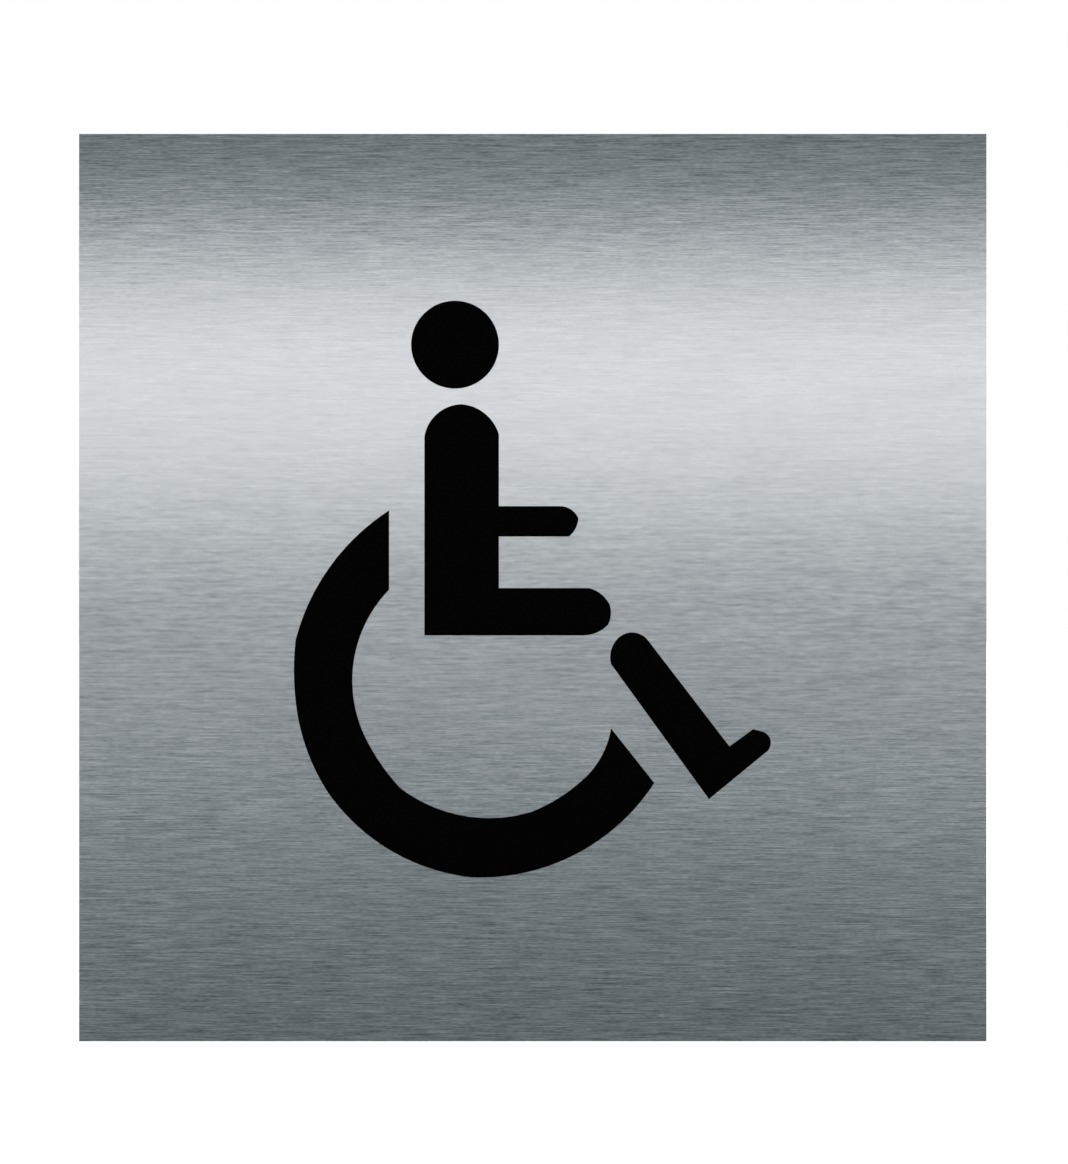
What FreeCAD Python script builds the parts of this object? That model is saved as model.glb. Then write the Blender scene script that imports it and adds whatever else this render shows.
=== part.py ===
import FreeCAD, Part
import math
import os
from collections import namedtuple

import Sketcher

# A square sign plate of brushed sheet metal that shows a figure in a wheelchair. The figure is cut
# from thin black film in four pieces, and three strips of foam tape on the back hold the sign.
#
# Frame, in millimetres: X to the viewer's right, Z up, the front looks along -Y. The origin is in
# the middle of the wall's surface, so the tape lies from the wall to the plate's back.

SIZES = {
    # The plate, with its long edges broken by a light chamfer.
    "plate_side": 150.0,
    "plate_thickness": 2.0,
    "plate_edge_break": 0.15,
    # The foam tape, in strips that stay clear of the plate's edges by the margin.
    "tape_thickness": 1.0,
    "tape_width": 19.0,
    "tape_margin": 10.0,
    # The film, and the corner under the seat, measured from the middle of the plate.
    "film_thickness": 0.1,
    "seat_left": 17.9,
    "seat_down": 7.9,
    # The torso, from the corner under the seat.
    "torso_width": 12.3,
    "back_height": 32.9,
    "shoulder_run": 6.1,
    "shoulder_rise": 5.3,
    "shoulder_radius": 6.4,
    "chest_drop": 4.95,
    "chest_radius": 7.05,
    # The arm, held out level. Its hand is round above and sharp below.
    "arm_length": 10.1,
    "arm_thickness": 5.0,
    "hand_run": 3.05,
    "hand_drop": 2.0,
    "hand_radius": 4.2,
    "palm_length": 11.6,
    "lap_height": 8.55,
    # The thigh, level on the seat, with a round knee end.
    "thigh_thickness": 7.8,
    "thigh_length": 14.95,
    "thigh_end_run": 3.4,
    "thigh_end_height": 5.0,
    "thigh_end_radius": 5.25,
    "thigh_turn_back": 0.3,
    "thigh_turn_height": 1.75,
    "thigh_turn_radius": 4.45,
    "thigh_under_length": 13.9,
    # The head, a disc a little behind the top of the shoulder.
    "head_radius": 7.25,
    "head_setback": 1.05,
    "neck_gap": 2.6,
    # The lower leg, in its own axes: up along the calf and out along the foot.
    "leg_slant": 35.95,
    "leg_ahead": 0.2,
    "leg_gap": 4.75,
    "calf_length": 27.55,
    "kneecap_run": 2.9,
    "kneecap_rise": 2.65,
    "knee_radius": 4.45,
    "knee_width": 7.25,
    "knee_front_drop": 0.4,
    "ankle_width": 7.85,
    "foot_thickness": 5.05,
    "foot_length": 12.7,
    "toe_run": 1.0,
    "toe_height": 3.8,
    "toe_tip_run": 1.2,
    "toe_tip_height": 1.75,
    "toe_tip_radius": 2.4,
    "sole_length": 12.65,
    "sole_lift": 0.75,
    # The wheel, from the foot of the upright cut that ends its rim behind the back.
    "wheel_gap": 5.85,
    "wheel_cut_up": 7.55,
    "wheel_cut_length": 13.1,
    # The well is the wheel's inner edge, and its corners go down the back and on to the tip.
    "well_side_back": 3.45,
    "well_side_down": 25.35,
    "well_side_radius": 21.6,
    "well_turn_ahead": 1.8,
    "well_turn_down": 32.75,
    "well_turn_radius": 34.85,
    "well_floor_ahead": 23.5,
    "well_floor_down": 36.75,
    "well_floor_radius": 24.25,
    "well_rise_ahead": 31.95,
    "well_rise_down": 31.5,
    "well_rise_radius": 28.25,
    "well_tip_ahead": 36.7,
    "well_tip_down": 22.95,
    "well_tip_radius": 14.5,
    # The rim is the outer edge, and its corners go from the slanted end under and up the back.
    "rim_tip_ahead": 43.85,
    "rim_tip_down": 31.95,
    "rim_floor_ahead": 13.7,
    "rim_floor_down": 47.55,
    "rim_floor_radius": 34.35,
    "rim_side_back": 10.05,
    "rim_side_down": 33.6,
    "rim_side_radius": 33.4,
    "rim_rise_back": 15.4,
    "rim_rise_down": 18.75,
    "rim_rise_radius": 34.45,
    "rim_turn_back": 15.45,
    "rim_turn_down": 8.35,
    "rim_turn_radius": 46.4,
    "rim_top_radius": 36.35,
}

# An outline goes clockwise from corner to corner. A corner has its place across and up from the
# outline's origin, as a sum of named sizes, and the edge that leaves it.
Corner = namedtuple("Corner", "across up edge radius", defaults=("line", None))

# The kinds of round edge. A free one has a radius, and each of the others takes its radius from
# the edge that it runs on from, or runs into.
BULGE = "bulge"
HOLLOW = "hollow"
RUNS_ON = "runs on"
RUNS_INTO = "runs into"
HALF_ROUND = 0.6

TORSO = (
    Corner("0", "0"),
    Corner("0", "back_height", BULGE, "shoulder_radius"),
    Corner("shoulder_run", "back_height + shoulder_rise", BULGE, "chest_radius"),
    Corner("torso_width", "back_height + shoulder_rise - chest_drop"),
    Corner("torso_width", "thigh_thickness + lap_height + arm_thickness"),
    Corner("torso_width + arm_length", "thigh_thickness + lap_height + arm_thickness", RUNS_ON),
    Corner(
        "torso_width + arm_length + hand_run",
        "thigh_thickness + lap_height + arm_thickness - hand_drop", BULGE, "hand_radius"),
    Corner("torso_width + palm_length", "thigh_thickness + lap_height"),
    Corner("torso_width", "thigh_thickness + lap_height"),
    Corner("torso_width", "thigh_thickness"),
    Corner("torso_width + thigh_length", "thigh_thickness", BULGE, "thigh_end_radius"),
    Corner(
        "torso_width + thigh_length + thigh_end_run", "thigh_end_height",
        BULGE, "thigh_turn_radius"),
    Corner(
        "torso_width + thigh_length + thigh_end_run - thigh_turn_back", "thigh_turn_height",
        RUNS_INTO),
    Corner("torso_width + thigh_under_length", "0"),
)

LEG = (
    Corner("0", "0 - calf_length"),
    Corner("0", "0", BULGE, "knee_radius"),
    Corner("kneecap_run", "kneecap_rise", RUNS_INTO),
    Corner("knee_width", "0 - knee_front_drop"),
    Corner("ankle_width", "foot_thickness - calf_length"),
    Corner("foot_length", "foot_thickness - calf_length"),
    Corner("foot_length + toe_run", "toe_height - calf_length", RUNS_ON),
    Corner(
        "foot_length + toe_tip_run", "toe_tip_height - calf_length", BULGE, "toe_tip_radius"),
    Corner("sole_length", "sole_lift - calf_length"),
)

WHEEL = (
    Corner("0", "wheel_cut_length"),
    Corner("0", "0", HOLLOW, "well_side_radius"),
    Corner("0 - well_side_back", "0 - well_side_down", HOLLOW, "well_turn_radius"),
    Corner("well_turn_ahead", "0 - well_turn_down", HOLLOW, "well_floor_radius"),
    Corner("well_floor_ahead", "0 - well_floor_down", HOLLOW, "well_rise_radius"),
    Corner("well_rise_ahead", "0 - well_rise_down", HOLLOW, "well_tip_radius"),
    Corner("well_tip_ahead", "0 - well_tip_down"),
    Corner("rim_tip_ahead", "0 - rim_tip_down", BULGE, "rim_floor_radius"),
    Corner("rim_floor_ahead", "0 - rim_floor_down", BULGE, "rim_side_radius"),
    Corner("0 - rim_side_back", "0 - rim_side_down", BULGE, "rim_rise_radius"),
    Corner("0 - rim_rise_back", "0 - rim_rise_down", BULGE, "rim_turn_radius"),
    Corner("0 - rim_turn_back", "0 - rim_turn_down", BULGE, "rim_top_radius"),
)

PLATE_BACK = "0 - tape_thickness"
PLATE_FACE = "0 - tape_thickness - plate_thickness"


def total(terms):
    """Adds up a sum of named sizes, such as back_height + shoulder_rise."""
    result = 0.0
    sign = 1.0
    for word in terms.split():
        if word in ("+", "-"):
            sign = 1.0 if word == "+" else -1.0
        elif word in SIZES:
            result += sign * SIZES[word]
    return result


def formula(terms):
    """The same sum, as an expression on the sheet's cells."""
    return " ".join("Sizes." + word if word in SIZES else word for word in terms.split())


def make_sheet(doc):
    """The sheet holds each driving size in a cell that has the size's own name."""
    sheet = doc.addObject("Spreadsheet::Sheet", "Sizes")
    for row, (name, size) in enumerate(SIZES.items(), start=1):
        sheet.set("A%d" % row, name)
        sheet.set("B%d" % row, str(size))
        sheet.setAlias("B%d" % row, name)
    doc.recompute()


def make_body(doc, name):
    body = doc.addObject("PartDesign::Body", name)
    body.Label = name
    return body


def make_sketch(body):
    """A sketch on the body's upright plane, seen from the front."""
    sketch = body.newObject("Sketcher::SketchObject", body.Name + "_outline")
    upright = [item for item in body.Origin.OriginFeatures if item.Role == "XZ_Plane"]
    sketch.AttachmentSupport = [(upright[0], "")]
    sketch.MapMode = "FlatFace"
    return sketch


def bind(sketch, constraint, expression):
    index = sketch.addConstraint(constraint)
    sketch.setExpression("Constraints[%d]" % index, expression)


def add_rectangle(sketch, width, height):
    """A rectangle about the sketch's origin, with its two sides bound to expressions."""
    corners = [FreeCAD.Vector(x, y, 0) for x, y in ((-1, -1), (1, -1), (1, 1), (-1, 1))]
    for index, corner in enumerate(corners):
        sketch.addGeometry(Part.LineSegment(corner, corners[(index + 1) % 4]), False)
    for index in range(4):
        sketch.addConstraint(Sketcher.Constraint("Coincident", index, 2, (index + 1) % 4, 1))
        sketch.addConstraint(Sketcher.Constraint("Vertical" if index % 2 else "Horizontal", index))
    sketch.addConstraint(Sketcher.Constraint("Symmetric", 0, 1, 2, 1, -1, 1))
    bind(sketch, Sketcher.Constraint("DistanceX", 0, 1, 0, 2, 2.0), width)
    bind(sketch, Sketcher.Constraint("DistanceY", 1, 1, 1, 2, 2.0), height)


def draft_edge(first, last, edge, radius):
    """An edge as first drawn, and which of its ends, 1 or 2, lies at the first and last corner."""
    if edge == "line":
        return Part.LineSegment(first, last), (1, 2)
    chord = last - first
    reach = SIZES[radius] if radius else HALF_ROUND * chord.Length
    outward = FreeCAD.Vector(-chord.y, chord.x, 0).normalize()
    side = 1.0 if edge == HOLLOW else -1.0
    middle = (first + last) * 0.5
    centre = middle + outward * side * math.sqrt(reach ** 2 - (chord.Length / 2) ** 2)
    turn = [math.atan2(point.y - centre.y, point.x - centre.x) for point in (first, last)]
    circle = Part.Circle(centre, FreeCAD.Vector(0, 0, 1), reach)
    if edge == HOLLOW:
        return Part.ArcOfCircle(circle, turn[0], turn[1]), (1, 2)
    return Part.ArcOfCircle(circle, turn[1], turn[0]), (2, 1)


def place_corner(sketch, edge, end, corner):
    """Holds a corner at its place across and up from the sketch's origin."""
    if corner.across == "0" and corner.up == "0":
        sketch.addConstraint(Sketcher.Constraint("Coincident", edge, end, -1, 1))
        return
    for kind, terms, axis in (("DistanceX", corner.across, -2), ("DistanceY", corner.up, -1)):
        if terms == "0":
            sketch.addConstraint(Sketcher.Constraint("PointOnObject", edge, end, axis))
        else:
            constraint = Sketcher.Constraint(kind, -1, 1, edge, end, total(terms))
            bind(sketch, constraint, formula(terms))


def add_outline(sketch, corners):
    """A closed outline of straight and round edges, each corner held by its named sizes."""
    points = [FreeCAD.Vector(total(item.across), total(item.up), 0) for item in corners]
    ends = []
    for index, corner in enumerate(corners):
        following = points[(index + 1) % len(points)]
        geometry, edge_ends = draft_edge(points[index], following, corner.edge, corner.radius)
        sketch.addGeometry(geometry, False)
        ends.append(edge_ends)
    for index, corner in enumerate(corners):
        before = index - 1 if index else len(corners) - 1
        smooth = corner.edge == RUNS_ON or corners[before].edge == RUNS_INTO
        kind = "Tangent" if smooth else "Coincident"
        sketch.addConstraint(
            Sketcher.Constraint(kind, before, ends[before][1], index, ends[index][0]))
        place_corner(sketch, index, ends[index][0], corner)
        if corner.radius:
            radius = Sketcher.Constraint("Radius", index, SIZES[corner.radius])
            bind(sketch, radius, formula(corner.radius))


def add_circle(sketch, radius):
    circle = Part.Circle(FreeCAD.Vector(0, 0, 0), FreeCAD.Vector(0, 0, 1), SIZES[radius])
    sketch.addGeometry(circle, False)
    sketch.addConstraint(Sketcher.Constraint("Coincident", 0, 3, -1, 1))
    bind(sketch, Sketcher.Constraint("Radius", 0, SIZES[radius]), formula(radius))


def add_pad(body, sketch, thickness):
    """Gives the outline its thickness, towards the front."""
    pad = body.newObject("PartDesign::Pad", body.Name + "_pad")
    pad.Profile = (sketch, [""])
    pad.Length = SIZES[thickness]
    pad.setExpression("Length", formula(thickness))
    sketch.Visibility = False
    return pad


def place(body, across, depth, up):
    """Sets the body's place in the sign, each way a formula of the sizes."""
    body.setExpression("Placement.Base.x", across)
    body.setExpression("Placement.Base.y", depth)
    body.setExpression("Placement.Base.z", up)


def make_plate(doc):
    """The plate, whose chamfers run round its front and back faces."""
    body = make_body(doc, "face_plate")
    sketch = make_sketch(body)
    add_rectangle(sketch, formula("plate_side"), formula("plate_side"))
    pad = add_pad(body, sketch, "plate_thickness")
    place(body, "0", formula(PLATE_BACK), "0")
    doc.recompute()
    broad = []
    for number, face in enumerate(pad.Shape.Faces, start=1):
        if abs(face.normalAt(0, 0).y) > 0.9:
            broad.append("Face%d" % number)
    chamfer = body.newObject("PartDesign::Chamfer", "face_plate_edge_break")
    chamfer.Base = (pad, broad)
    chamfer.Size = SIZES["plate_edge_break"]
    chamfer.setExpression("Size", formula("plate_edge_break"))
    body.Tip = chamfer


def make_tape(doc):
    """Three level strips: two along the margins and one across the middle."""
    outer_row = "(Sizes.plate_side - Sizes.tape_width) / 2 - Sizes.tape_margin"
    rows = {"tape_top": outer_row, "tape_middle": "0", "tape_bottom": "-(" + outer_row + ")"}
    for name, up in rows.items():
        body = make_body(doc, name)
        sketch = make_sketch(body)
        add_rectangle(sketch, "Sizes.plate_side - 2 * Sizes.tape_margin", formula("tape_width"))
        add_pad(body, sketch, "tape_thickness")
        place(body, "0", "0", up)


def make_film(doc, name, draw, across, up):
    """One piece of film on the plate's face. Its place is that of its outline's origin."""
    body = make_body(doc, name)
    sketch = make_sketch(body)
    draw(sketch)
    add_pad(body, sketch, "film_thickness")
    place(body, formula(across), formula(PLATE_FACE), formula(up))
    return body


def make_figure(doc):
    """The four pieces of the figure, each placed from the torso by its named gaps."""
    seat_across = "0 - seat_left"
    seat_up = "0 - seat_down"
    shoulder_top = seat_up + " + back_height + shoulder_rise"
    thigh_front = seat_across + " + torso_width + thigh_length + thigh_end_run"
    make_film(doc, "torso_film", lambda sketch: add_outline(sketch, TORSO), seat_across, seat_up)
    make_film(
        doc, "head_film", lambda sketch: add_circle(sketch, "head_radius"),
        seat_across + " + shoulder_run - head_setback", shoulder_top + " + neck_gap + head_radius")
    make_film(
        doc, "wheel_film", lambda sketch: add_outline(sketch, WHEEL),
        seat_across + " - wheel_gap", seat_up + " + wheel_cut_up")
    leg = make_film(
        doc, "leg_film", lambda sketch: add_outline(sketch, LEG),
        thigh_front + " + leg_ahead", seat_up + " - leg_gap")
    leg.Placement.Rotation = FreeCAD.Rotation(FreeCAD.Vector(0, -1, 0), SIZES["leg_slant"])
    leg.setExpression("Placement.Rotation.Angle", formula("leg_slant"))


def check(doc):
    """Stops at anything that failed to build."""
    for item in doc.Objects:
        if "Invalid" in item.State or "Error" in item.State:
            raise RuntimeError("%s failed: %s" % (item.Name, item.State))
    bodies = [item for item in doc.Objects if item.TypeId == "PartDesign::Body"]
    for body in bodies:
        if body.Shape.isNull() or not body.Shape.isValid() or len(body.Shape.Solids) != 1:
            raise RuntimeError("%s is not one valid solid" % body.Label)
    return bodies


def main():
    doc = FreeCAD.newDocument("DisabledAccessSign")
    make_sheet(doc)
    make_plate(doc)
    make_tape(doc)
    make_figure(doc)
    doc.recompute()
    bodies = check(doc)
    os.makedirs("parts", exist_ok=True)
    for body in bodies:
        body.Shape.exportStep("parts/%s.step" % body.Label)
        print("%-12s %9.2f mm3" % (body.Label, body.Shape.Volume))


main()
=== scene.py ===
"""The looks of the disabled access sign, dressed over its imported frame.

A square plate of brushed aluminium carries a figure in a wheelchair, which is cut from thin black
film in four pieces. Three strips of foam tape on the plate's back hold it to the wall. X runs to
the viewer's right, Z up, and the front looks along -Y. Lengths are in metres.
"""
import logging
import math
from collections.abc import Sequence
from dataclasses import dataclass, field
from enum import Enum

import bpy
import numpy as np
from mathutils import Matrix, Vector


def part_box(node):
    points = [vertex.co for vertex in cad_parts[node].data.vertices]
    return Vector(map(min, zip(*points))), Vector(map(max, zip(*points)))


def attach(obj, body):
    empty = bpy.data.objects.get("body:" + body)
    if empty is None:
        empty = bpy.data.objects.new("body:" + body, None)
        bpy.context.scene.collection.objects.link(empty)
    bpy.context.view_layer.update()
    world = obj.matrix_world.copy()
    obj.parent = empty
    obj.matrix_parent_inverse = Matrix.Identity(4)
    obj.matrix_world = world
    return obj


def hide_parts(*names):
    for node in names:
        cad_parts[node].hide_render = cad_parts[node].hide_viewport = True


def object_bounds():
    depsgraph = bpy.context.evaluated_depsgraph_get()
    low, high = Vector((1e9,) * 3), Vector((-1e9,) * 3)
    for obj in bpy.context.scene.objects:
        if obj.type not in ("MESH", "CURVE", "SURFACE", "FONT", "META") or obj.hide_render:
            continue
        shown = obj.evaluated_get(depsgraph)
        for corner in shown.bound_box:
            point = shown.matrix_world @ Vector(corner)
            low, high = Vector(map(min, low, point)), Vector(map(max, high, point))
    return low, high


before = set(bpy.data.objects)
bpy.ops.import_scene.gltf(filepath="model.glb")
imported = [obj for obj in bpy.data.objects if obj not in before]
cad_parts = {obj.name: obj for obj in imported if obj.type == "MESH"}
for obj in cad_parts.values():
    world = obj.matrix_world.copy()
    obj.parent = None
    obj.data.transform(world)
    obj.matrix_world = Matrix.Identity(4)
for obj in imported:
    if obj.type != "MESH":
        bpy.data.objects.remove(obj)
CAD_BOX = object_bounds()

Array = np.ndarray
Socket = bpy.types.NodeSocket
Colour = tuple[float, float, float]
Feed = float | Sequence[float] | Socket

log = logging.getLogger("access_sign")

MM = 0.001
MICRON = 0.001 * MM
# A CAD mesh's points are rounded to this, so that those at one place become one point.
WELD = 0.1 * MICRON
# The name of the UV map, and where a form's bands and its back cap start on it, along U. The
# front cap starts at 0, so no two of them share a place.
UNROLLED = "unrolled"
BANDS_START = 0.4
BACK_START = 0.2
# How many cells each further pattern of a material is moved by, along each axis.
PATTERN_STEP = (31.7, 17.3, 23.9)
# How strong each finer layer of a noise is beside the one that it lies over.
LAYER_FADE = 0.55
# A noise runs from 0 to 1, and this is its mean.
NOISE_MEAN = 0.5


# Forms


def mitres(outline: Array) -> Array:
    """How far each corner of a closed outline moves as the outline shrinks by one unit.

    Where two edges meet, their inward normals are m and n, and the corner moves by
    (m + n) / (1 + m . n), which keeps both edges parallel to themselves.

    Args:
        outline: Points (n, 2) across and up, counter-clockwise as seen from the front.

    Returns:
        The moves, (n, 2).
    """
    ahead = np.roll(outline, -1, axis=0) - outline
    ahead = ahead / np.linalg.norm(ahead, axis=1, keepdims=True)
    leaving = np.stack([-ahead[:, 1], ahead[:, 0]], axis=1)
    arriving = np.roll(leaving, 1, axis=0)
    return (leaving + arriving) / (1.0 + (leaving * arriving).sum(axis=1, keepdims=True))


def carry(profile: Array, outline: Array, wander: Array | float = 0.0) -> Array:
    """Carries a profile round a closed outline.

    Ring k is the outline moved inwards, along its mitres, by the profile's inset k and the
    wander, and it lies at the profile's depth k.

    Args:
        profile: Points (m, 2), each an inset and a depth along Y, from the front to the back.
        outline: Points (n, 2) across and up.
        wander: Further inset of each point, (m, n), or none.

    Returns:
        The rings, (m, n, 3).
    """
    shape = (len(profile), len(outline))
    inset = np.broadcast_to(profile[:, :1] + wander, shape)
    depth = np.broadcast_to(profile[:, 1:], shape)
    flat = outline + mitres(outline) * inset[..., None]
    return np.stack([flat[..., 0], depth, flat[..., 1]], axis=-1)


def quarter_round(radius: float, steps: int) -> Array:
    """A quarter circle that turns from a face to its side.

    At the turn t, from 0 to 90 degrees, the inset is r (1 - sin t) and the depth r (1 - cos t).

    Args:
        radius: The circle's radius r.
        steps: How many points to place on it.

    Returns:
        Insets and depths, (steps, 2).
    """
    turn = np.linspace(0.0, math.pi / 2.0, steps)
    return radius * np.stack([1.0 - np.sin(turn), 1.0 - np.cos(turn)], axis=1)


def board_profile(front: float, back: float, radii: tuple[float, float], steps: int) -> Array:
    """The side of a flat board, from the rim of its front to the rim of its back.

    Args:
        front: Depth of the front face, the smaller Y.
        back: Depth of the back face.
        radii: Radius of the front rim and of the back rim.
        steps: Points on each rim.

    Returns:
        Insets and depths, (2 * steps, 2).
    """
    front_rim = quarter_round(radii[0], steps) + [0.0, front]
    back_rim = quarter_round(radii[1], steps)[::-1] * [1.0, -1.0] + [0.0, back]
    return np.concatenate([front_rim, back_rim])


def dotted_rectangle(low: Vector, high: Vector, step: float) -> Array:
    """A rectangle's outline with a point at least at every step.

    Args:
        low: The box's lowest corner.
        high: The box's highest corner.
        step: The longest gap between two points.

    Returns:
        Points (n, 2) across and up, counter-clockwise as seen from the front.
    """
    corners = np.array([[low.x, low.z], [high.x, low.z], [high.x, high.z], [low.x, high.z]])
    sides = []
    for start, end in zip(corners, np.roll(corners, -1, axis=0)):
        count = max(1, math.ceil(float(np.linalg.norm(end - start)) / step))
        sides.append(np.linspace(start, end, count, endpoint=False))
    return np.concatenate(sides)


def front_outline(node: bpy.types.Object) -> Array:
    """The outline of a flat node's front face, in order.

    Two front triangles share each inner edge in opposite directions, so the edges with no
    opposite are the rim, and each leads from one rim point to the next. Doubling those links
    again and again counts every point's steps to the last one, which gives its place in line.

    Args:
        node: A CAD node whose front face is flat and has no hole.

    Returns:
        Points (n, 2) across and up, counter-clockwise as seen from the front.
    """
    mesh = node.data
    mesh.calc_loop_triangles()
    places = np.empty(len(mesh.vertices) * 3)
    mesh.vertices.foreach_get("co", places)
    places, merged = np.unique(
        np.round(places.reshape(-1, 3) / WELD), axis=0, return_inverse=True)
    corners = np.empty(len(mesh.loop_triangles) * 3, dtype=np.int64)
    mesh.loop_triangles.foreach_get("vertices", corners)
    triangles = merged.reshape(-1)[corners].reshape(-1, 3)
    front = (places[triangles, 1] == places[:, 1].min()).all(axis=1)
    starts = triangles[front].reshape(-1)
    ends = np.roll(triangles[front], -1, axis=1).reshape(-1)
    total = len(places)
    rim = ~np.isin(starts * total + ends, ends * total + starts)
    starts, ends = starts[rim], ends[rim]
    order = np.argsort(starts)
    link = np.searchsorted(starts[order], ends[order])
    steps = np.ones(len(link), dtype=np.int64)
    link[0], steps[0] = 0, 0
    for _ in range(len(link).bit_length()):
        steps = steps + steps[link]
        link = link[link]
    in_line = starts[order][np.argsort(-steps)]
    return places[in_line][:, [0, 2]] * WELD


@dataclass
class Shell:
    """A closed form: rings of points from its front to its back, and a cap at each end.

    The rings run counter-clockwise as seen from the front, so every face points outwards.

    Attributes:
        rings: Points (m, n, 3).
        band_finish: Which of the piece's finishes each of the m - 1 bands has.
        cap_finish: The same for the front cap and the back cap.
        crease: The angle between faces past which their edge is sharp.
    """

    rings: Array
    band_finish: Sequence[int]
    cap_finish: tuple[int, int]
    crease: float = math.radians(35.0)

    def bands(self) -> Array:
        """The faces between the rings.

        Returns:
            Point numbers (faces, 4): down one ring, on to the next point, and back up.
        """
        count, around = self.rings.shape[:2]
        ring, point = np.meshgrid(np.arange(count - 1), np.arange(around), indexing="ij")
        here = ring * around + point
        beside = ring * around + (point + 1) % around
        quads = [here, here + around, beside + around, beside]
        return np.stack(quads, axis=-1).reshape(-1, 4)

    def unrolled(self) -> Array:
        """The UV places of all face corners, in metres.

        On a band, U is the distance down the side and V the distance round it. On a cap, U runs
        up and V across. So U crosses the strokes of a brush on every face of the plate.

        Returns:
            UV places (corners, 2), in the order of the faces.
        """
        count, around = self.rings.shape[:2]
        closed = np.concatenate([self.rings, self.rings[:, :1]], axis=1)
        down = np.linalg.norm(np.diff(closed, axis=0), axis=-1).mean(axis=1)
        down = np.concatenate([[0.0], np.cumsum(down)]) + BANDS_START
        along = np.linalg.norm(np.diff(closed[0], axis=0), axis=-1)
        along = np.concatenate([[0.0], np.cumsum(along)])
        u, v = np.meshgrid(down, along, indexing="ij")
        grid = np.stack([u, v], axis=-1)
        sides = [grid[:-1, :-1], grid[1:, :-1], grid[1:, 1:], grid[:-1, 1:]]
        flat = np.stack(sides, axis=2).reshape(-1, 2)
        lowest = self.rings.reshape(-1, 3).min(axis=0)
        caps = [
            (ring - lowest)[:, [2, 0]] + [start, 0.0]
            for ring, start in ((self.rings[0], 0.0), (self.rings[-1][::-1], BACK_START))
        ]
        return np.concatenate([flat, *caps])

    def make(self, name: str, finishes: Sequence[bpy.types.Material]) -> bpy.types.Object:
        """Makes the form's mesh and object.

        Args:
            name: The piece's name.
            finishes: The materials that the finish numbers stand for.

        Returns:
            The new object, at the origin.
        """
        count, around = self.rings.shape[:2]
        bands = self.bands()
        front = np.arange(around)
        back = front[::-1] + (count - 1) * around
        mesh = bpy.data.meshes.new(name)
        faces = [*bands.tolist(), front.tolist(), back.tolist()]
        mesh.from_pydata(self.rings.reshape(-1, 3).tolist(), [], faces)
        worn = np.concatenate([np.repeat(self.band_finish, around), self.cap_finish])
        mesh.polygons.foreach_set("material_index", worn.astype(np.int32))
        smooth = np.arange(len(faces)) < len(bands)
        mesh.polygons.foreach_set("use_smooth", smooth)
        mesh.set_sharp_from_angle(angle=self.crease)
        places = mesh.uv_layers.new(name=UNROLLED)
        places.uv.foreach_set("vector", self.unrolled().astype(np.float32).ravel())
        for finish in finishes:
            mesh.materials.append(finish)
        mesh.update()
        piece = bpy.data.objects.new(name, mesh)
        bpy.context.scene.collection.objects.link(piece)
        log.info("%-18s %6d faces", name, len(faces))
        return piece


# Finishes


class Nodes:
    """A tree of nodes that is being laid out."""

    def __init__(self, tree: bpy.types.NodeTree) -> None:
        """Takes up a tree.

        Args:
            tree: The tree of a material or a world.
        """
        self.tree = tree

    def first(self, kind: str) -> bpy.types.Node:
        """Finds the tree's first node of a kind.

        Args:
            kind: The short name of the node's type.

        Returns:
            The node.
        """
        return next(node for node in self.tree.nodes if node.type == kind)

    def feed(self, socket: Socket, value: Feed) -> None:
        """Links a socket to another one, or sets its value.

        Args:
            socket: The socket that receives.
            value: A socket to link, or a constant.
        """
        if isinstance(value, bpy.types.NodeSocket):
            self.tree.links.new(value, socket)
        else:
            socket.default_value = value

    def add(self, kind: str, inputs: dict[str | int, Feed], **settings: object) -> bpy.types.Node:
        """Adds a node.

        Args:
            kind: The node's type name.
            inputs: What its sockets receive, by name or number.
            **settings: The node's own options.

        Returns:
            The node.
        """
        node = self.tree.nodes.new(kind)
        for option, value in settings.items():
            setattr(node, option, value)
        for key, value in inputs.items():
            self.feed(node.inputs[key], value)
        return node

    def sum_up(self, operation: str, *values: Feed) -> Socket:
        """Adds a Math node.

        Args:
            operation: What it works out.
            *values: Its one to three operands.

        Returns:
            The result.
        """
        node = self.add("ShaderNodeMath", dict(enumerate(values)), operation=operation)
        return node.outputs[0]


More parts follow.
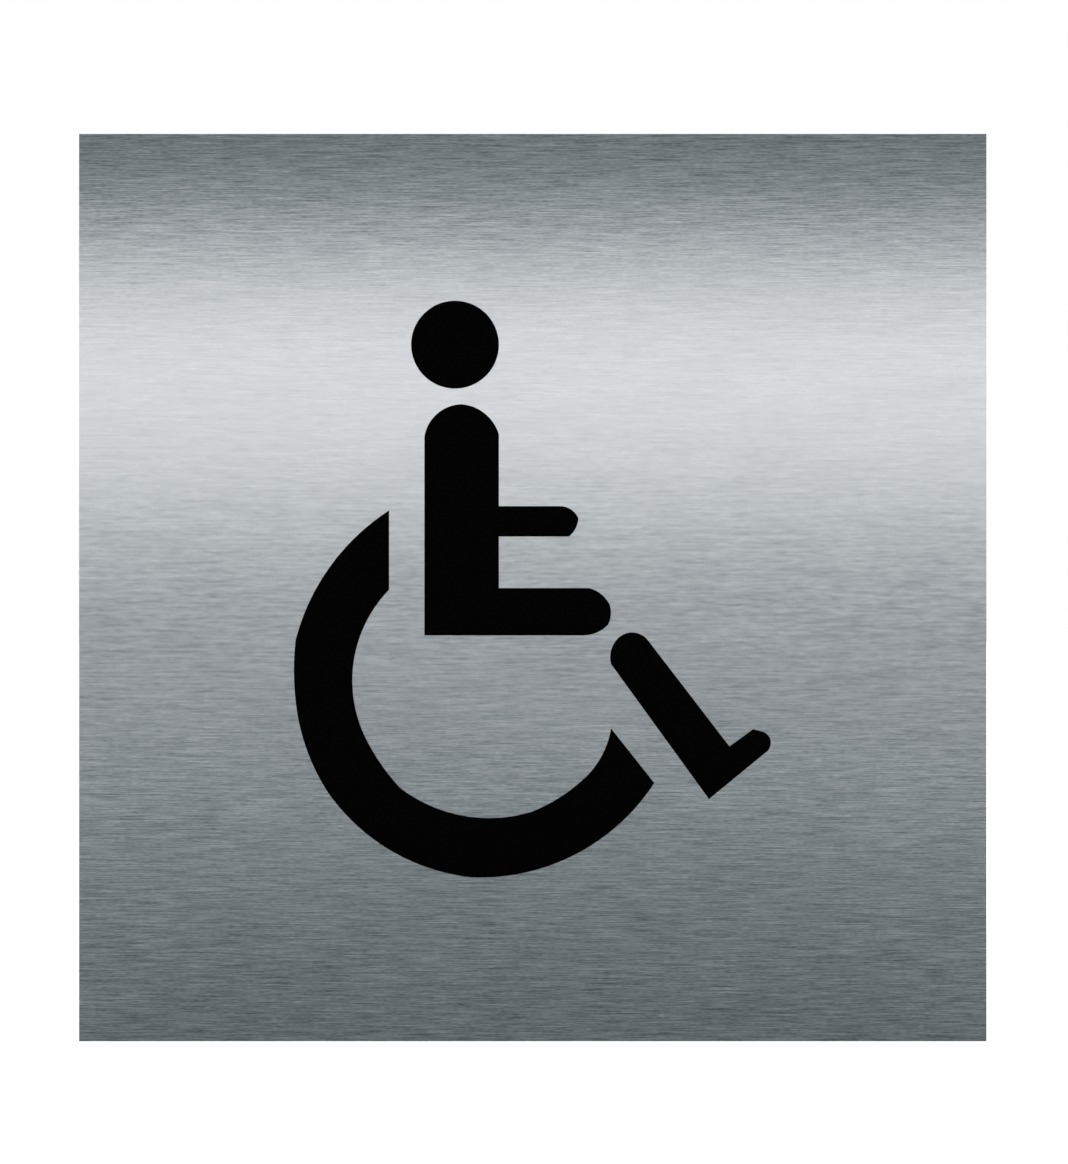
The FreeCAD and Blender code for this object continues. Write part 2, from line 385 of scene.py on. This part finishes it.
class Bench(Nodes):
    """The nodes of one material, laid out from its patterns to its surface."""

    def __init__(self, name: str) -> None:
        """Starts a material that has its plain surface shader.

        Args:
            name: The material's name.
        """
        self.material = bpy.data.materials.new(name)
        self.material.use_nodes = True
        super().__init__(self.material.node_tree)
        self.surface = self.first("BSDF_PRINCIPLED")
        self.patterns = 0

    def object_place(self) -> Socket:
        """The place on the object, in metres."""
        return self.add("ShaderNodeTexCoord", {}).outputs["Object"]

    def unrolled_place(self) -> Socket:
        """The place on the piece's own UV map, in metres."""
        return self.add("ShaderNodeUVMap", {}, uv_map=UNROLLED).outputs[0]

    def noise(self, place: Socket, cell: Sequence[float], detail: float) -> Socket:
        """Smooth noise from 0 to 1.

        Each pattern is moved apart from the ones before it, because patterns whose cells meet
        at one place line up there and leave a seam.

        Args:
            place: Where the pattern is read.
            cell: The size of its cells along each axis, in metres.
            detail: How many finer layers lie over it.

        Returns:
            The noise.
        """
        self.patterns += 1
        apart = [self.patterns * step for step in PATTERN_STEP]
        fitted = self.add(
            "ShaderNodeMapping",
            {"Vector": place, "Scale": [1.0 / size for size in cell], "Location": apart})
        pattern = self.add("ShaderNodeTexNoise", {
            "Vector": fitted.outputs[0], "Scale": 1.0, "Detail": detail,
            "Roughness": LAYER_FADE})
        return pattern.outputs[0]

    def ramp(self, value: Socket, ends: tuple[float, float]) -> Socket:
        """Rises smoothly from 0 to 1 as a value goes from one end to the other.

        Args:
            value: The value.
            ends: Where the rise starts and where it ends.

        Returns:
            The rise, from 0 to 1.
        """
        rise = self.add(
            "ShaderNodeMapRange", {"Value": value, "From Min": ends[0], "From Max": ends[1]},
            interpolation_type="SMOOTHSTEP")
        return rise.outputs[0]

    def between(self, share: Socket, start: Colour, end: Colour) -> Socket:
        """Mixes two colours, in the Mix node's sockets for colour.

        Args:
            share: From 0, where the first colour shows, to 1, where the second one does.
            start: The first colour.
            end: The second colour.

        Returns:
            The mixed colour.
        """
        mix = self.add(
            "ShaderNodeMix", {0: share, 6: (*start, 1.0), 7: (*end, 1.0)}, data_type="RGBA")
        return mix.outputs[2]

    def relief(self, height: Socket, depth: float) -> None:
        """Gives the surface a fine relief.

        Args:
            height: The pattern of heights, from 0 to 1.
            depth: The height that 1 stands for, in metres.
        """
        bump = self.add("ShaderNodeBump", {"Height": height, "Strength": 1.0, "Distance": depth})
        self.feed(self.surface.inputs["Normal"], bump.outputs[0])

    def finish(self, **inputs: Feed) -> bpy.types.Material:
        """Feeds the surface shader, whose socket names are given with _ for each space.

        Args:
            **inputs: What its sockets receive.

        Returns:
            The finished material.
        """
        for key, value in inputs.items():
            self.feed(self.surface.inputs[key.replace("_", " ")], value)
        return self.material


class Grain(Enum):
    """Which way the strokes of a metal finish run."""

    LEVEL = "level"
    ROUND_THE_EDGE = "round the edge"


@dataclass(frozen=True)
class Sheen:
    """A soft level band on the metal: strength exp(-((z - height) / spread)^2), either a painted
    highlight in the tone or a swell of stroke contrast.
    """

    strength: float
    height: float
    spread: float


@dataclass(frozen=True)
class Strokes:
    """Marks that a brush or a roll leaves, as long cells of smooth noise.

    Marks of several lengths and one width lie over each other, because a brush skips at random.

    Attributes:
        lengths: The cells' lengths along the strokes, in metres.
        width: Their width across them.
        contrast: The tone between the darkest and the palest mark of each length.
        swells: Level bands where that contrast is higher, or lower where the strength is below 0.
        detail: How many finer layers lie over the marks.
    """

    lengths: tuple[float, ...]
    width: float
    contrast: float
    swells: tuple[Sheen, ...] = ()
    detail: float = 0.0


@dataclass(frozen=True)
class MetalFinish:
    """A face of the aluminium plate.

    Its tone is the ground plus the painted sheens plus the strokes, each of which swings about 0.
    The painted sheens are highlight bands, a soft lamp's reflection painted into the colour. Red,
    green and blue are the tone times the hue plus the tint, which fades in the darkest tones.

    Attributes:
        name: The material's name.
        ground: The tone under all else.
        strokes: The marks, from broad to fine.
        grain: Which way they run.
        painted_sheens: Painted highlights, level bands of a soft lamp's reflection painted into
            the tone.
        hue: What the tone is multiplied by for red, green and blue.
        tint: What is then added to them.
        dark_tint: The share of the tint that is left at a tone of 0.
        full_tint: The tone from which the tint is whole.
        roughness: The surface's roughness at a mean mark.
        polish_swing: How much smoother the palest mark is.
        anisotropy: How far highlights stretch across the strokes.
        relief: The depth of the marks, in metres.
    """

    name: str
    ground: float
    strokes: tuple[Strokes, ...]
    grain: Grain = Grain.LEVEL
    painted_sheens: tuple[Sheen, ...] = ()
    hue: Colour = (1.0, 1.0, 1.0246)
    tint: Colour = (-0.0268, 0.0, 0.0081)
    dark_tint: float = 0.5
    full_tint: float = 0.19
    roughness: float = 0.36
    polish_swing: float = 0.12
    anisotropy: float = 0.6
    relief: float = 3.0 * MICRON

    def swelled(self, bench: Bench, up: Socket, start: Feed, bands: Sequence[Sheen]) -> Feed:
        """Adds level bands to a value.

        Args:
            bench: The material's nodes.
            up: The height on the object.
            start: The value away from the bands.
            bands: The bands.

        Returns:
            The value with its bands.
        """
        for band in bands:
            away = bench.sum_up("DIVIDE", bench.sum_up("SUBTRACT", up, band.height), band.spread)
            fall = bench.sum_up("MULTIPLY", bench.sum_up("MULTIPLY", away, away), -1.0)
            bell = bench.sum_up("EXPONENT", fall)
            start = bench.sum_up("MULTIPLY_ADD", bell, band.strength, start)
        return start

    def marks(self, bench: Bench, up: Socket) -> tuple[Socket, Socket]:
        """Adds up the strokes.

        Args:
            bench: The material's nodes.
            up: The height on the object.

        Returns:
            The change of tone and the relief's height, both of which swing about 0.
        """
        level = self.grain is Grain.LEVEL
        place = bench.object_place() if level else bench.unrolled_place()
        tone: Feed = 0.0
        height: Feed = 0.0
        for mark in self.strokes:
            swings: Feed = 0.0
            for length in mark.lengths:
                width = mark.width
                # A UV map has no third axis, so the last size counts for nothing there.
                cell = (length, width, width) if level else (width, length, 1.0)
                noise = bench.noise(place, cell, mark.detail)
                swing = bench.sum_up("SUBTRACT", noise, NOISE_MEAN)
                swings = bench.sum_up("ADD", swing, swings)
            contrast = self.swelled(bench, up, mark.contrast, mark.swells)
            tone = bench.sum_up("MULTIPLY_ADD", swings, contrast, tone)
            height = bench.sum_up("ADD", swings, height)
        return tone, height

    def build(self) -> bpy.types.Material:
        """Lays out the finish.

        Returns:
            The material.
        """
        bench = Bench(self.name)
        up = bench.add("ShaderNodeSeparateXYZ", {0: bench.object_place()}).outputs["Z"]
        marks, height = self.marks(bench, up)
        # The painted sheens add a soft lamp's highlight bands to the ground, painted into the
        # colour.
        tone = bench.sum_up("ADD", marks, self.swelled(bench, up, self.ground, self.painted_sheens))
        share = bench.add("ShaderNodeMapRange", {
            "Value": tone, "From Max": self.full_tint, "To Min": self.dark_tint})
        tint = bench.add(
            "ShaderNodeVectorMath", {0: self.tint, "Scale": share.outputs[0]}, operation="SCALE")
        tinted = bench.add(
            "ShaderNodeVectorMath", {0: tone, 1: self.hue, 2: tint.outputs[0]},
            operation="MULTIPLY_ADD")
        across = bench.add("ShaderNodeTangent", {}, direction_type="UV_MAP", uv_map=UNROLLED)
        bench.relief(height, self.relief)
        return bench.finish(
            Base_Color=tinted.outputs[0], Metallic=1.0, Anisotropic=self.anisotropy,
            Roughness=bench.sum_up("MULTIPLY_ADD", height, -self.polish_swing, self.roughness),
            Tangent=across.outputs[0])


@dataclass(frozen=True)
class FilmFinish:
    """Calendered black film, whose satin face has the faint peel of its casting paper.

    Attributes:
        name: The material's name.
        colour: Its black.
        gloss: The shader's specular level.
        roughness: Its mean roughness.
        satin_swing: How far the roughness varies.
        cloud: The size of the patches over which it varies, in metres.
        peel_cell: The size of the peel's cells, in metres.
        relief: The peel's depth.
    """

    name: str
    colour: Colour = (0.0003, 0.0003, 0.0004)
    gloss: float = 0.008
    roughness: float = 0.42
    satin_swing: float = 0.14
    cloud: float = 9.0 * MM
    peel_cell: float = 0.35 * MM
    relief: float = 2.5 * MICRON

    def build(self) -> bpy.types.Material:
        """Lays out the finish.

        Returns:
            The material.
        """
        bench = Bench(self.name)
        place = bench.object_place()
        peel = bench.noise(place, (self.peel_cell,) * 3, detail=2.0)
        clouds = bench.noise(place, (self.cloud,) * 3, detail=3.0)
        least = -NOISE_MEAN * self.satin_swing
        swing = bench.sum_up("MULTIPLY_ADD", clouds, self.satin_swing, least)
        bench.relief(peel, self.relief)
        return bench.finish(
            Base_Color=(*self.colour, 1.0), Specular_IOR_Level=self.gloss,
            Roughness=bench.sum_up("ADD", swing, self.roughness))


@dataclass(frozen=True)
class FoamFinish:
    """The cut side of closed-cell foam: small round cells, opened by the knife.

    Attributes:
        name: The material's name.
        colour: The foam between the cells.
        shaded_hollow: The foam inside an opened cell, darker with painted shade.
        cell: A cell's size, in metres.
        wall: How far from a cell's middle its wall starts and is whole, in cells.
        relief: The depth of an opened cell.
        roughness: Its roughness.
        gloss: The shader's specular level.
    """

    name: str
    colour: Colour = (0.74, 0.74, 0.72)
    shaded_hollow: Colour = (0.56, 0.56, 0.54)
    cell: float = 0.28 * MM
    wall: tuple[float, float] = (0.15, 0.6)
    relief: float = 60.0 * MICRON
    roughness: float = 0.85
    gloss: float = 0.3

    def build(self) -> bpy.types.Material:
        """Lays out the finish.

        Returns:
            The material.
        """
        bench = Bench(self.name)
        scaled = bench.add(
            "ShaderNodeMapping",
            {"Vector": bench.object_place(), "Scale": [1.0 / self.cell] * 3})
        cells = bench.add(
            "ShaderNodeTexVoronoi", {"Vector": scaled.outputs[0], "Scale": 1.0},
            feature="SMOOTH_F1")
        wall = bench.ramp(cells.outputs["Distance"], self.wall)
        bench.relief(wall, self.relief)
        return bench.finish(
            # Darker inside each opened cell, where its hollow sinks: painted shade.
            Base_Color=bench.between(wall, self.shaded_hollow, self.colour),
            Roughness=self.roughness, Specular_IOR_Level=self.gloss)


@dataclass(frozen=True)
class LinerFinish:
    """Release paper: smooth, mottled by its fibres, and creased across from its roll.

    Attributes:
        name: The material's name.
        colour: The paper where it is clean.
        dull: The paper where its fibres lie thick.
        cloud: The size of its mottles, in metres.
        fibre: A fibre's length and thickness.
        fibre_share: How strong the fibres are in the mottle, beside the clouds.
        mottle: Where the paper starts to dull and where it is dull, in the mottle.
        crease: The gap between two creases and the length of one.
        relief: The creases' depth.
        fibre_relief: The fibres' height, as a share of the creases' depth.
        roughness: The roughness of clean paper.
        dull_roughness: How much rougher dull paper is.
        gloss: The shader's specular level.
    """

    name: str
    colour: Colour = (0.80, 0.785, 0.735)
    dull: Colour = (0.73, 0.715, 0.665)
    cloud: float = 7.0 * MM
    fibre: tuple[float, float] = (1.2 * MM, 0.2 * MM)
    fibre_share: float = 0.8
    mottle: tuple[float, float] = (0.3, 0.7)
    crease: tuple[float, float] = (1.3 * MM, 30.0 * MM)
    relief: float = 30.0 * MICRON
    fibre_relief: float = 0.15
    roughness: float = 0.30
    dull_roughness: float = 0.22
    gloss: float = 0.5

    def build(self) -> bpy.types.Material:
        """Lays out the finish.

        Returns:
            The material.
        """
        bench = Bench(self.name)
        place = bench.object_place()
        clouds = bench.noise(place, (self.cloud,) * 3, detail=4.0)
        length, thickness = self.fibre
        fibres = bench.noise(place, (length, thickness, thickness), detail=2.0)
        gap, run = self.crease
        creases = bench.noise(place, (gap, gap, run), detail=2.0)
        swing = bench.sum_up("SUBTRACT", fibres, NOISE_MEAN)
        mottle = bench.sum_up("MULTIPLY_ADD", swing, self.fibre_share, clouds)
        thick = bench.ramp(mottle, self.mottle)
        height = bench.sum_up("MULTIPLY_ADD", fibres, self.fibre_relief, creases)
        bench.relief(height, self.relief)
        return bench.finish(
            Base_Color=bench.between(thick, self.colour, self.dull),
            Specular_IOR_Level=self.gloss,
            Roughness=bench.sum_up(
                "MULTIPLY_ADD", thick, self.dull_roughness, self.roughness))


BRUSHED_FACE = MetalFinish(
    name="brushed_aluminium",
    ground=0.1557,
    # Painted highlight: the bright bands of a soft lamp's reflection, painted into the face's
    # colour.
    painted_sheens=(
        Sheen(strength=0.2333, height=47.0 * MM, spread=16.8 * MM),
        Sheen(strength=0.4108, height=27.7 * MM, spread=23.7 * MM),
        Sheen(strength=0.1505, height=-11.3 * MM, spread=35.4 * MM),
    ),
    strokes=(
        Strokes(lengths=(16.0 * MM,), width=5.0 * MM, contrast=0.007),
        Strokes(
            lengths=(10.0 * MM, 5.5 * MM, 3.2 * MM, 1.5 * MM), width=0.42 * MM, contrast=0.0,
            swells=(
                Sheen(strength=0.090, height=0.5 * MM, spread=25.0 * MM),
                Sheen(strength=0.020, height=43.0 * MM, spread=11.0 * MM),
            )),
        Strokes(
            lengths=(9.5 * MM, 4.8 * MM, 3.0 * MM, 1.0 * MM), width=0.16 * MM, contrast=0.108,
            swells=(
                Sheen(strength=0.080, height=58.0 * MM, spread=9.0 * MM),
                Sheen(strength=-0.110, height=10.0 * MM, spread=34.0 * MM),
                Sheen(strength=0.040, height=-30.0 * MM, spread=12.0 * MM),
            )),
    ),
)

MILL_BACK = MetalFinish(
    name="mill_finish_aluminium",
    ground=0.46,
    strokes=(
        Strokes(lengths=(80.0 * MM,), width=9.0 * MM, contrast=0.10, detail=2.0),
        Strokes(lengths=(60.0 * MM, 22.0 * MM), width=0.9 * MM, contrast=0.09, detail=2.0),
        Strokes(lengths=(9.0 * MM,), width=0.3 * MM, contrast=0.08, detail=1.0),
    ),
    tint=(-0.012, 0.0, 0.004),
    roughness=0.34,
    polish_swing=0.20,
    anisotropy=0.40,
    relief=2.5 * MICRON,
)

CUT_EDGE = MetalFinish(
    name="cut_edge_aluminium",
    ground=0.49,
    grain=Grain.ROUND_THE_EDGE,
    strokes=(
        Strokes(lengths=(7.0 * MM, 2.0 * MM), width=0.12 * MM, contrast=0.15, detail=1.0),
        Strokes(lengths=(1.6 * MM,), width=0.05 * MM, contrast=0.14),
    ),
    tint=(-0.008, 0.0, 0.004),
    roughness=0.40,
    relief=4.0 * MICRON,
)


# The sign's sub-assemblies


def mount(piece: bpy.types.Object, node: str) -> bpy.types.Object:
    """Lets a piece ride on the sign's one body and stand for its CAD node.

    Args:
        piece: The new piece.
        node: The CAD node's name.

    Returns:
        The piece.
    """
    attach(piece, "root")
    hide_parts(node)
    return piece


@dataclass
class FacePlate:
    """The square plate of sheet aluminium, sheared to size and with its edges broken.

    Attributes:
        node: The CAD node that the plate stands for.
        edge_break: Radius of the broken edges, front and back.
        rim_points: Points on each broken edge's quarter circle.
    """

    node: str = "face_plate"
    edge_break: float = 0.08 * MM
    rim_points: int = 7

    def form(self) -> Shell:
        """The plate's form: the board's profile, carried round its square.

        Returns:
            The form, whose finishes are the face, the cut edge and the back, in that order.
        """
        low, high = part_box(self.node)
        side = high.x - low.x
        radii = (self.edge_break, self.edge_break)
        profile = board_profile(low.y, high.y, radii, self.rim_points)
        face, edge, back = range(3)
        rim = self.rim_points - 1
        bands = [face] * rim + [edge] + [back] * rim
        return Shell(carry(profile, dotted_rectangle(low, high, side)), bands, (face, back))

    def build(self) -> bpy.types.Object:
        """Makes and dresses the plate.

        Returns:
            The plate.
        """
        finishes = [finish.build() for finish in (BRUSHED_FACE, CUT_EDGE, MILL_BACK)]
        return mount(self.form().make("brushed_plate", finishes), self.node)


@dataclass
class Figure:
    """The figure in the wheelchair: four pieces of film, each cut along its CAD node's outline.

    Attributes:
        pieces: The name of each piece, by the CAD node that it stands for.
        soft_rim: Radius of the film's front edge, which the knife leaves slightly drawn down.
        rim_points: Points on that edge's quarter circle.
        finish: The film's finish.
    """

    pieces: dict[str, str] = field(default_factory=lambda: {
        "head_film": "figure_head",
        "torso_film": "figure_torso",
        "wheel_film": "figure_wheel",
        "leg_film": "figure_leg",
    })
    soft_rim: float = 0.03 * MM
    rim_points: int = 4
    finish: FilmFinish = FilmFinish("black_film")

    def form(self, node: str) -> Shell:
        """One piece's form: the film's thin side, carried round the node's outline.

        Args:
            node: The CAD node's name.

        Returns:
            The form.
        """
        low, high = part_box(node)
        front = quarter_round(self.soft_rim, self.rim_points) + [0.0, low.y]
        profile = np.concatenate([front, [[0.0, high.y]]])
        bands = [0] * (len(profile) - 1)
        return Shell(carry(profile, front_outline(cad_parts[node])), bands, (0, 0))

    def build(self) -> list[bpy.types.Object]:
        """Makes and dresses the four pieces.

        Returns:
            The pieces.
        """
        film = self.finish.build()
        return [
            mount(self.form(node).make(name, [film]), node)
            for node, name in self.pieces.items()
        ]


@dataclass
class FoamTape:
    """The three strips of double-sided foam tape on the plate's back, under their release paper.

    Attributes:
        pieces: The name of each strip, by the CAD node that it stands for.
        liner: The release paper's thickness.
        overhang: How far the paper stands out beyond the foam's rims.
        squeeze: How far those rims draw in from the foam's belly.
        tremor: How far the knife's cut wanders in the foam.
        passes: How often chance is averaged round the outline, to make that cut smooth.
        step: The gap between two points of a strip's outline.
        rows: Points down the side of the foam.
    """

    pieces: dict[str, str] = field(default_factory=lambda: {
        "tape_top": "foam_strip_top",
        "tape_middle": "foam_strip_middle",
        "tape_bottom": "foam_strip_bottom",
    })
    liner: float = 0.11 * MM
    overhang: float = 0.30 * MM
    squeeze: float = 0.16 * MM
    tremor: float = 0.10 * MM
    passes: int = 6
    step: float = 0.5 * MM
    rows: int = 9

    def cut(self, points: int, seed: int) -> Array:
        """The knife's wandering cut through the foam.

        Seeded chance is averaged over each point's neighbours, pass after pass round the outline
        and once down the side, then spread from 0 to the tremor.

        Args:
            points: Points round the outline.
            seed: Which strip this is.

        Returns:
            Insets (rows, points).
        """
        wander = np.random.default_rng(seed).random((self.rows, points))
        for _ in range(self.passes):
            wander = (np.roll(wander, 1, axis=1) + wander + np.roll(wander, -1, axis=1)) / 3.0
        beside = np.pad(wander, ((1, 1), (0, 0)), mode="edge")
        wander = (beside[:-2] + beside[1:-1] + beside[2:]) / 3.0
        return self.tremor * (wander - wander.min()) / np.ptp(wander)

    def form(self, node: str, seed: int) -> Shell:
        """One strip's form: the foam, whose side bulges, and the paper that stands out over it.

        At the share t of the foam's depth, its side is drawn in by
        overhang - squeeze + squeeze (2 t - 1)^2.

        Args:
            node: The CAD node's name.
            seed: Which strip this is.

        Returns:
            The form, whose finishes are the foam's side and the paper, in that order.
        """
        low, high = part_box(node)
        share = np.linspace(0.0, 1.0, self.rows)
        inset = self.overhang + self.squeeze * ((2.0 * share - 1.0) ** 2 - 1.0)
        foam = np.stack([inset, low.y + (high.y - self.liner - low.y) * share], axis=1)
        paper = [[0.0, high.y - self.liner], [0.0, high.y]]
        outline = dotted_rectangle(low, high, self.step)
        wander = np.pad(self.cut(len(outline), seed), ((0, len(paper)), (0, 0)))
        rings = carry(np.concatenate([foam, paper]), outline, wander)
        foam_side, release_paper = range(2)
        bands = [foam_side] * (self.rows - 1) + [release_paper] * len(paper)
        return Shell(rings, bands, (foam_side, release_paper))

    def build(self) -> list[bpy.types.Object]:
        """Makes and dresses the three strips.

        Returns:
            The strips.
        """
        finishes = [FoamFinish("foam_side").build(), LinerFinish("release_paper").build()]
        return [
            mount(self.form(node, seed).make(name, finishes), node)
            for seed, (node, name) in enumerate(self.pieces.items(), start=1)
        ]


# The studio


@dataclass(frozen=True)
class Lamp:
    """A soft lamp, so far off that it lights the floor and the sign evenly.

    Attributes:
        name: Its name.
        towards: The direction from the sign to the lamp.
        breadth: The angle that it fills.
        power: Its light on a surface that faces it, in watts per square metre.
        mirrored: Whether it shows in reflections.
    """

    name: str
    towards: Colour
    breadth: float
    power: float
    mirrored: bool = False

    def build(self) -> None:
        """Hangs the lamp."""
        lamp = bpy.data.lights.new(self.name, "SUN")
        lamp.angle = self.breadth
        lamp.energy = self.power
        holder = bpy.data.objects.new(self.name, lamp)
        holder.rotation_euler = Vector(self.towards).to_track_quat("Z", "Y").to_euler()
        holder.visible_glossy = self.mirrored
        bpy.context.scene.collection.objects.link(holder)


@dataclass
class Studio:
    """The pale floor, the white surroundings, the lamps and the camera.

    Attributes:
        floor_half: Half the floor's side.
        floor_colour: The floor's colour.
        floor_roughness: Its roughness.
        floor_gloss: Its shader's specular level.
        floor_lift: Light that the floor adds for rays from the camera or through glass.
        floor_gleam: The same for reflections.
        world_level: The surroundings' strength as a light on matt surfaces.
        lamps: The lamps.
        lens: The camera's focal length in millimetres.
        sensor: The sensor's long side in millimetres.
        nearest: How near to the camera a thing still shows.
        aim: The point of the sign that the camera looks at squarely, across and up.
        view_height: The height that the picture's long side takes in at the plate's face.
    """

    floor_half: float = 3.0
    floor_colour: Colour = (0.80, 0.80, 0.80)
    floor_roughness: float = 0.9
    floor_gloss: float = 0.1
    floor_lift: float = 0.33
    floor_gleam: float = 0.035
    world_level: float = 0.44
    lamps: tuple[Lamp, ...] = (
        Lamp("key_lamp", (-0.12, -0.70, 0.70), math.radians(25.0), 2.8),
        Lamp("fill_lamp", (0.90, -0.60, 0.35), math.radians(60.0), 0.5),
        Lamp("back_lamp", (-0.25, 0.85, 0.35), math.radians(95.0), 0.8, mirrored=True),
    )
    lens: float = 85.0
    sensor: float = 36.0
    nearest: float = 5.0 * MM
    aim: tuple[float, float] = (0.21 * MM, 0.92 * MM)
    view_height: float = 192.4 * MM

    def by_ray(self, nodes: Nodes, matt: float, mirror: float, camera: float) -> Socket:
        """Picks a strength by the kind of ray that asks for it.

        Args:
            nodes: The nodes to work in.
            matt: The strength as a light on matt surfaces.
            mirror: The strength in reflections and through glass.
            camera: The strength that the camera sees.

        Returns:
            The strength.
        """
        path = nodes.add("ShaderNodeLightPath", {}).outputs
        either = nodes.sum_up("MAXIMUM", path["Is Camera Ray"], path["Is Glossy Ray"])
        shown = nodes.sum_up("MAXIMUM", either, path["Is Transmission Ray"])
        level = nodes.sum_up("MULTIPLY_ADD", shown, mirror - matt, matt)
        return nodes.sum_up("MULTIPLY_ADD", path["Is Camera Ray"], camera - mirror, level)

    def build_world(self) -> None:
        """Surrounds the sign with white, which lights matt surfaces at the world level."""
        world = bpy.data.worlds.new("studio")
        world.use_nodes = True
        nodes = Nodes(world.node_tree)
        background = nodes.first("BACKGROUND")
        nodes.feed(background.inputs["Color"], (1.0, 1.0, 1.0, 1.0))
        nodes.feed(background.inputs["Strength"], self.by_ray(nodes, self.world_level, 1.0, 1.0))
        bpy.context.scene.world = world

    def build_floor(self) -> None:
        """Lays the floor under the plate's lower edge. It keeps the sign's shadow."""
        half, height = self.floor_half, CAD_BOX[0].z
        corners = [
            (across * half, along * half, height)
            for across, along in ((-1, -1), (1, -1), (1, 1), (-1, 1))
        ]
        mesh = bpy.data.meshes.new("floor")
        mesh.from_pydata(corners, [], [(0, 1, 2, 3)])
        bench = Bench("floor")
        lift = self.by_ray(bench, 0.0, self.floor_gleam, self.floor_lift)
        glow = bench.add("ShaderNodeEmission", {"Strength": lift})
        both = bench.add("ShaderNodeAddShader", {0: bench.surface.outputs[0], 1: glow.outputs[0]})
        bench.feed(bench.first("OUTPUT_MATERIAL").inputs["Surface"], both.outputs[0])
        mesh.materials.append(bench.finish(
            Base_Color=(*self.floor_colour, 1.0), Roughness=self.floor_roughness,
            Specular_IOR_Level=self.floor_gloss))
        floor = bpy.data.objects.new("floor", mesh)
        bpy.context.scene.collection.objects.link(floor)

    def build_camera(self) -> None:
        """Sets the camera square on, as far off as the view's height needs."""
        camera = bpy.data.cameras.new("camera")
        camera.lens = self.lens
        camera.sensor_width = self.sensor
        camera.clip_start = self.nearest
        holder = bpy.data.objects.new("camera", camera)
        reach = self.view_height * self.lens / self.sensor
        across, up = self.aim
        holder.location = (across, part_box("face_plate")[0].y - reach, up)
        holder.rotation_euler = (math.pi / 2.0, 0.0, 0.0)
        bpy.context.scene.collection.objects.link(holder)
        bpy.context.scene.camera = holder

    def build(self) -> None:
        """Sets up the whole studio."""
        self.build_world()
        self.build_floor()
        for lamp in self.lamps:
            lamp.build()
        self.build_camera()
        bpy.context.scene.view_settings.view_transform = "Standard"


def main() -> None:
    """Builds the studio, then the sign from its face to its back."""
    logging.basicConfig(level=logging.INFO, format="%(name)s: %(message)s")
    Studio().build()
    plate = FacePlate().build()
    film = Figure().build()
    tape = FoamTape().build()


if __name__ == "__main__":
    main()
